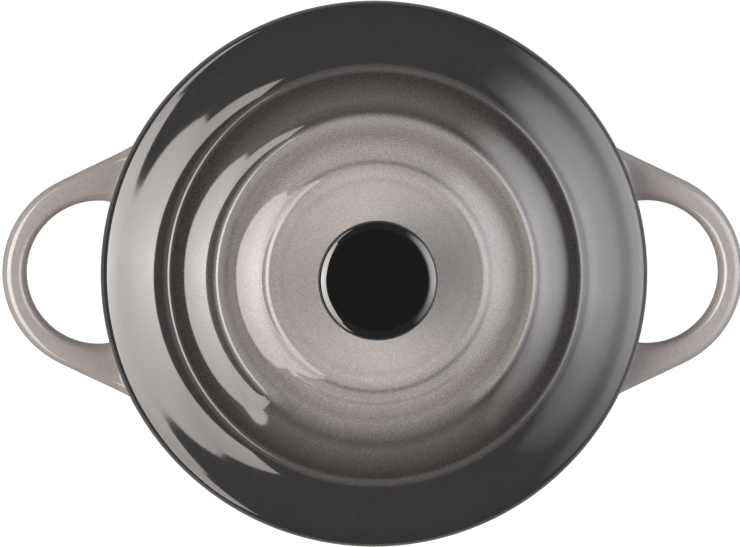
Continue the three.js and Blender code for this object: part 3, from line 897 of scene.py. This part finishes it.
knob_low, knob_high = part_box("knob")
KNOB_EDGE = 3.6 * MM
KNOB_RIM_ROUND = 1.1 * MM
KNOB_SHOULDER_WIDTH = 0.96 * MM
KNOB_SHOULDER_DROP = 0.55 * MM
KNOB_SHOULDER_ROUND = 2.6 * MM
KNOB_FALL_WIDTH = 0.91 * MM
KNOB_FALL_DROP = 0.13 * MM
KNOB_FALL_ROUND = 6.0 * MM
KNOB_UNDER_ROUND = 1.2 * MM
KNOB_NECK_RADIUS = 6.6 * MM
KNOB_NECK_HEIGHT = 4.0 * MM
KNOB_NECK_ROUND = 5.0 * MM
KNOB_FOOT_RADIUS = 8.0 * MM
KNOB_FOOT_ROUND = 0.5 * MM
BUSH_CLEARANCE = 0.1 * MM
BLACK = (0.0014, 0.0014, 0.0014)
WORN_BLACK = (0.0028, 0.0028, 0.0028)

knob_radius = knob_high.x
socket_radius = bush_radius + BUSH_CLEARANCE
socket_end = bush_high.z + BUSH_CLEARANCE
shoulder = knob_high.z - KNOB_FALL_DROP
shoulder_radius = knob_radius - KNOB_SHOULDER_WIDTH
knob_outline = rounded_outline(
    [
        (0, socket_end),
        (socket_radius, socket_end),
        (socket_radius, knob_low.z),
        (KNOB_FOOT_RADIUS, knob_low.z, KNOB_FOOT_ROUND),
        (KNOB_NECK_RADIUS, knob_low.z + KNOB_NECK_HEIGHT, KNOB_NECK_ROUND),
        (knob_radius, knob_high.z - KNOB_EDGE, KNOB_UNDER_ROUND),
        (knob_radius, shoulder - KNOB_SHOULDER_DROP, KNOB_RIM_ROUND),
        (shoulder_radius, shoulder, KNOB_SHOULDER_ROUND),
        (shoulder_radius - KNOB_FALL_WIDTH, knob_high.z, KNOB_FALL_ROUND),
        (0, knob_high.z),
    ],
    arc_step=0.15 * MM,
    side_step=0.7 * MM,
)
moulding = grained_material(
    "black moulding",
    size=0.5 * MM,
    dark=BLACK,
    pale=WORN_BLACK,
    smoothest=0.03,
    roughest=0.07,
    relief=5e-7,
    index=2.0,
)
moulded_knob = turned_piece("moulded_knob", knob_outline, segments=128, material=moulding)
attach(moulded_knob, "lid")
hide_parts("knob")


# Screw cushion: a soft silicone washer under the lid, so that the steel doesn't press on the glaze. It is
# punched from the same sheet as the gasket, and the screw clamps it.

cushion_outline = punched_ring("screw_cushion", SHEET_ROUND)
soft_cushion = turned_piece("soft_cushion", cushion_outline, segments=64, material=silicone)
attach(soft_cushion, "lid")
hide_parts("screw_cushion")


# Screw washer: a stamped stainless washer that spreads the load of the screw's head over the cushion. Its
# edges are rounded where the die drew the sheet down.

WASHER_ROUND = 0.2 * MM
BRIGHT_STEEL = (0.62, 0.62, 0.61)
DULL_STEEL = (0.42, 0.42, 0.42)

steel = turned_metal(
    "stainless steel",
    pitch=0.05 * MM,
    bright=BRIGHT_STEEL,
    dull=DULL_STEEL,
    smoothest=0.22,
    roughest=0.38,
    relief=2e-6,
)
washer_outline = punched_ring("screw_washer", WASHER_ROUND)
steel_washer = turned_piece("steel_washer", washer_outline, segments=64, material=steel)
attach(steel_washer, "lid")
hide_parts("screw_washer")


# Knob screw: a stainless pan-head machine screw with a rolled M4 thread and a cross recess, driven from
# below through the washers and the lid into the bush.

screw_low, screw_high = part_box("knob_screw")
washer_low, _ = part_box("screw_washer")
STACK_GAP = 0.1 * MM
HEAD_ROUND = 1.6 * MM
HEAD_EDGE_ROUND = 0.1 * MM
NECK_ROUND = 0.15 * MM
TIP_CHAMFER = 0.6 * MM
THREAD_PITCH = 0.7 * MM
THREAD_DEPTH = 0.38 * MM
PLAIN_NECK = 0.8 * MM
RECESS_LENGTH = 4.2 * MM
RECESS_WIDTH = 0.9 * MM
RECESS_DEPTH = 1.3 * MM
RECESS_TAPER = 0.6  # size of the punch at its tip, as a share of its other end

head_radius = screw_high.x
head_seat = washer_low.z - STACK_GAP
screw_outline = rounded_outline(
    [
        (0, screw_low.z),
        (head_radius, screw_low.z, HEAD_ROUND),
        (head_radius, head_seat, HEAD_EDGE_ROUND),
        (SCREW_RADIUS, head_seat, NECK_ROUND),
        (SCREW_RADIUS, screw_high.z - TIP_CHAMFER),
        (SCREW_RADIUS - TIP_CHAMFER, screw_high.z),
        (0, screw_high.z),
    ],
    arc_step=0.15 * MM,
    side_step=0.1 * MM,
)
thread_start = head_seat + PLAIN_NECK
thread_end = screw_high.z - SAME_PLACE
threaded = []
for point in screw_outline:
    on_shank = thread_start < point.y < thread_end and point.x > SCREW_RADIUS - TIP_CHAMFER
    threaded.append(1.0 if on_shank else 0.0)
steel_screw = turned_piece(
    "steel_screw",
    screw_outline,
    segments=48,
    material=steel,
    marks={"waved": threaded},
    wave_depth=THREAD_DEPTH,
    waves_round=1.0,
    waves_along=1 / THREAD_PITCH,
)

cross = bmesh.new()
for length, width in ((RECESS_LENGTH, RECESS_WIDTH), (RECESS_WIDTH, RECESS_LENGTH)):
    wedge = bmesh.ops.create_cube(cross, size=1.0)["verts"]
    for vertex in wedge:
        deep = vertex.co.z > 0
        share = RECESS_TAPER if deep else 1.0
        height = RECESS_DEPTH if deep else -RECESS_DEPTH
        across, along = vertex.co.x * length * share, vertex.co.y * width * share
        vertex.co = Vector((across, along, screw_low.z + height))
cross_mesh = bpy.data.meshes.new("cross recess")
cross.to_mesh(cross_mesh)
cross.free()
cross_punch = bpy.data.objects.new("cross recess", cross_mesh)
scene.collection.objects.link(cross_punch)
punch = steel_screw.modifiers.new("cross recess", "BOOLEAN")
punch.object = cross_punch
punch.use_self = True
evaluated = bpy.context.evaluated_depsgraph_get()
shape = bpy.data.meshes.new_from_object(steel_screw.evaluated_get(evaluated))
steel_screw.modifiers.remove(punch)
welded = bmesh.new()  # the two wedges leave doubled points at the inner corners of the cross
welded.from_mesh(shape)
bmesh.ops.remove_doubles(welded, verts=welded.verts, dist=SAME_PLACE)
welded.to_mesh(shape)
welded.free()
steel_screw.data = shape
bpy.data.objects.remove(cross_punch)
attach(steel_screw, "lid")
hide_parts("knob_screw")


# Stage: a pale table, one long panel light on the left, a wide soft one on the right, and a camera almost
# straight above. The table and the room behind it glow for the camera only, so that they stay pale and
# plain without lighting the pot from below.

TABLE_SIZE = 14.0
TABLE_GAP = 0.1 * MM
TABLE_COLOUR = (0.3, 0.3, 0.3, 1)
TABLE_ROUGHNESS = 0.8
TABLE_GLOW = 0.81
PANEL_REACH = 2.4
PANEL_MIDDLE = 0.5
LEFT_EDGES = (15.5, 60.0)  # degrees from straight above
LEFT_LENGTH = 6.6
# How far it reaches to the back and to the front, as shares of its half length, from its lower edge up
LEFT_BACK = [(0.4, 1.0), (0.41, 0.4), (0.61, 0.335), (0.935, 0.063), (1.0, 0.02)]
LEFT_FRONT = [(0.49, 1.0), (0.67, 0.47), (0.83, 0.38), (1.0, 0.18)]
LEFT_RADIANCE = 7.8
LEFT_COLOUR = (1.0, 0.955, 0.91)
LEFT_TOP = 0.7  # brightness at the upper edge, as a share of the lower one
LEFT_FADE = [(0.0, 1.0), (0.15, 0.78), (0.42, 0.47), (1.0, 0.42)]  # brightness from the middle to the ends
LEFT_BLUR = 0.012
RIGHT_EDGES = (12.0, 87.0)
RIGHT_LENGTH = 4.2
RIGHT_RADIANCE = 4.0
RIGHT_COLOUR = (0.985, 0.96, 1.0)
RIGHT_STOPS = [  # brightness from its upper edge down
    (0.0, 0.0),
    (0.09, 0.28),
    (0.15, 0.52),
    (0.23, 0.67),
    (0.33, 0.79),
    (0.52, 0.85),
    (0.68, 1.0),
    (0.76, 0.95),
    (0.83, 0.6),
    (1.0, 0.45),
]
# Brightness from its front end to its back end
RIGHT_FADE = [(0.1, 0.0), (0.3, 0.35), (0.46, 0.97), (0.6, 0.97), (0.79, 0.55), (0.9, 0.14), (1.0, 0.0)]
RIGHT_TAPER = (0.32, 1.1)  # share of its length that is lit, at the upper edge and below the taper
RIGHT_TAPER_END = 0.48  # how far down the taper ends
ROOM_COLOURS = ((0.07, 0.07, 0.071, 1), (0.13, 0.13, 0.133, 1))  # straight above, and lower down
ROOM_EDGES = (0.99, 0.96)  # how steeply a direction rises where the one gives way to the other
BACKDROP_COLOUR = (0.85, 0.85, 0.85, 1)
CAMERA_TARGET = Vector((-0.8, 0.14, 48.7)) * MM
CAMERA_TOWARD = Vector((-0.0255, 0.0453, 1.0))
CAMERA_DISTANCE = 1.1
LENS = 286.95
SENSOR = 36.0
CLIP_START = 0.01

table_mesh = bpy.data.meshes.new("table")
half = TABLE_SIZE / 2
corners = [(-half, -half), (half, -half), (half, half), (-half, half)]
table_mesh.from_pydata([(x, y, -TABLE_GAP) for x, y in corners], [], [(0, 1, 2, 3)])
table = bpy.data.objects.new("table", table_mesh)
scene.collection.objects.link(table)
table_finish, tree, shader = new_material("pale table")
seen = add_node(tree, "ShaderNodeLightPath").outputs["Is Camera Ray"]
glow = calculate(tree, "MULTIPLY", seen, TABLE_GLOW)
fill(tree, shader, Base_Color=TABLE_COLOUR, Roughness=TABLE_ROUGHNESS)
fill(tree, shader, Emission_Color=(1, 1, 1, 1), Emission_Strength=glow)
table_mesh.materials.append(table_finish)


def panel_light(name, side, edges, length, radiance, colour):
    """A flat panel to one side. Its long edges lie at angles from straight above, its length along Y."""
    low, high = (math.radians(edge) for edge in edges)
    middle, half_angle = (low + high) / 2, (high - low) / 2
    light = bpy.data.lights.new(name, "AREA")
    light.shape = "RECTANGLE"
    light.size = 2 * PANEL_REACH * math.sin(half_angle)
    light.size_y = length
    light.color = colour
    light.energy = radiance * math.pi * light.size * light.size_y
    lamp = bpy.data.objects.new(name, light)
    distance = PANEL_REACH * math.cos(half_angle)
    lamp.location = (side * distance * math.sin(middle), 0, distance * math.cos(middle) + rim_height)
    lamp.rotation_euler = (0, side * middle, 0)
    lamp.visible_camera = False
    scene.collection.objects.link(lamp)
    light.use_nodes = True
    across = add_node(light.node_tree, "ShaderNodeNewGeometry").outputs["Parametric"]
    return light.node_tree, add_node(light.node_tree, "ShaderNodeSeparateXYZ", {0: across}).outputs


def from_middle(tree, place):
    """0 in the middle of a panel, 1 at its edge."""
    away = calculate(tree, "ABSOLUTE", calculate(tree, "SUBTRACT", place, PANEL_MIDDLE))
    return calculate(tree, "DIVIDE", away, PANEL_MIDDLE)


tree, place = panel_light("left panel", -1, LEFT_EDGES, LEFT_LENGTH, LEFT_RADIANCE, LEFT_COLOUR)
aside = from_middle(tree, place["Y"])
back_reach, front_reach = (value_ramp(tree, place["X"], outline) for outline in (LEFT_BACK, LEFT_FRONT))
to_back = calculate(tree, "GREATER_THAN", place["Y"], PANEL_MIDDLE)
reach = blend_colours(tree, to_back, front_reach, back_reach)
inside = map_range(tree, calculate(tree, "SUBTRACT", reach, aside), 0.0, LEFT_BLUR)
along = value_ramp(tree, aside, LEFT_FADE)
across = map_range(tree, place["X"], 0.0, 1.0, 1.0, LEFT_TOP, "LINEAR")
strength = calculate(tree, "MULTIPLY", calculate(tree, "MULTIPLY", along, across), inside)
fill(tree, tree.nodes["Emission"], Strength=strength)

tree, place = panel_light("right panel", 1, RIGHT_EDGES, RIGHT_LENGTH, RIGHT_RADIANCE, RIGHT_COLOUR)
width = map_range(tree, place["X"], 0.0, RIGHT_TAPER_END, *RIGHT_TAPER, "LINEAR")
aside = calculate(tree, "DIVIDE", calculate(tree, "SUBTRACT", place["Y"], PANEL_MIDDLE), width)
aside = calculate(tree, "ADD", aside, PANEL_MIDDLE)
along = value_ramp(tree, aside, RIGHT_FADE)
across = value_ramp(tree, place["X"], RIGHT_STOPS)
fill(tree, tree.nodes["Emission"], Strength=calculate(tree, "MULTIPLY", along, across))

world = bpy.data.worlds.new("studio")
scene.world = world
world.use_nodes = True
tree = world.node_tree
seen = add_node(tree, "ShaderNodeLightPath").outputs["Is Camera Ray"]
toward = add_node(tree, "ShaderNodeTexCoord").outputs["Generated"]
rise = add_node(tree, "ShaderNodeSeparateXYZ", {0: toward}).outputs["Z"]
room = blend_colours(tree, map_range(tree, rise, *ROOM_EDGES), *ROOM_COLOURS)
fill(tree, tree.nodes["Background"], Color=blend_colours(tree, seen, room, BACKDROP_COLOUR))

lens = bpy.data.cameras.new("camera")
lens.lens = LENS
lens.sensor_width = SENSOR
lens.clip_start = CLIP_START
camera = bpy.data.objects.new("camera", lens)
back = CAMERA_TOWARD.normalized()
right = Vector((0, 1, 0)).cross(back).normalized()
turned = Matrix((right, back.cross(right), back)).transposed().to_4x4()
camera.matrix_world = Matrix.Translation(CAMERA_TARGET + back * CAMERA_DISTANCE) @ turned
scene.collection.objects.link(camera)
scene.camera = camera
scene.view_settings.view_transform = "Standard"
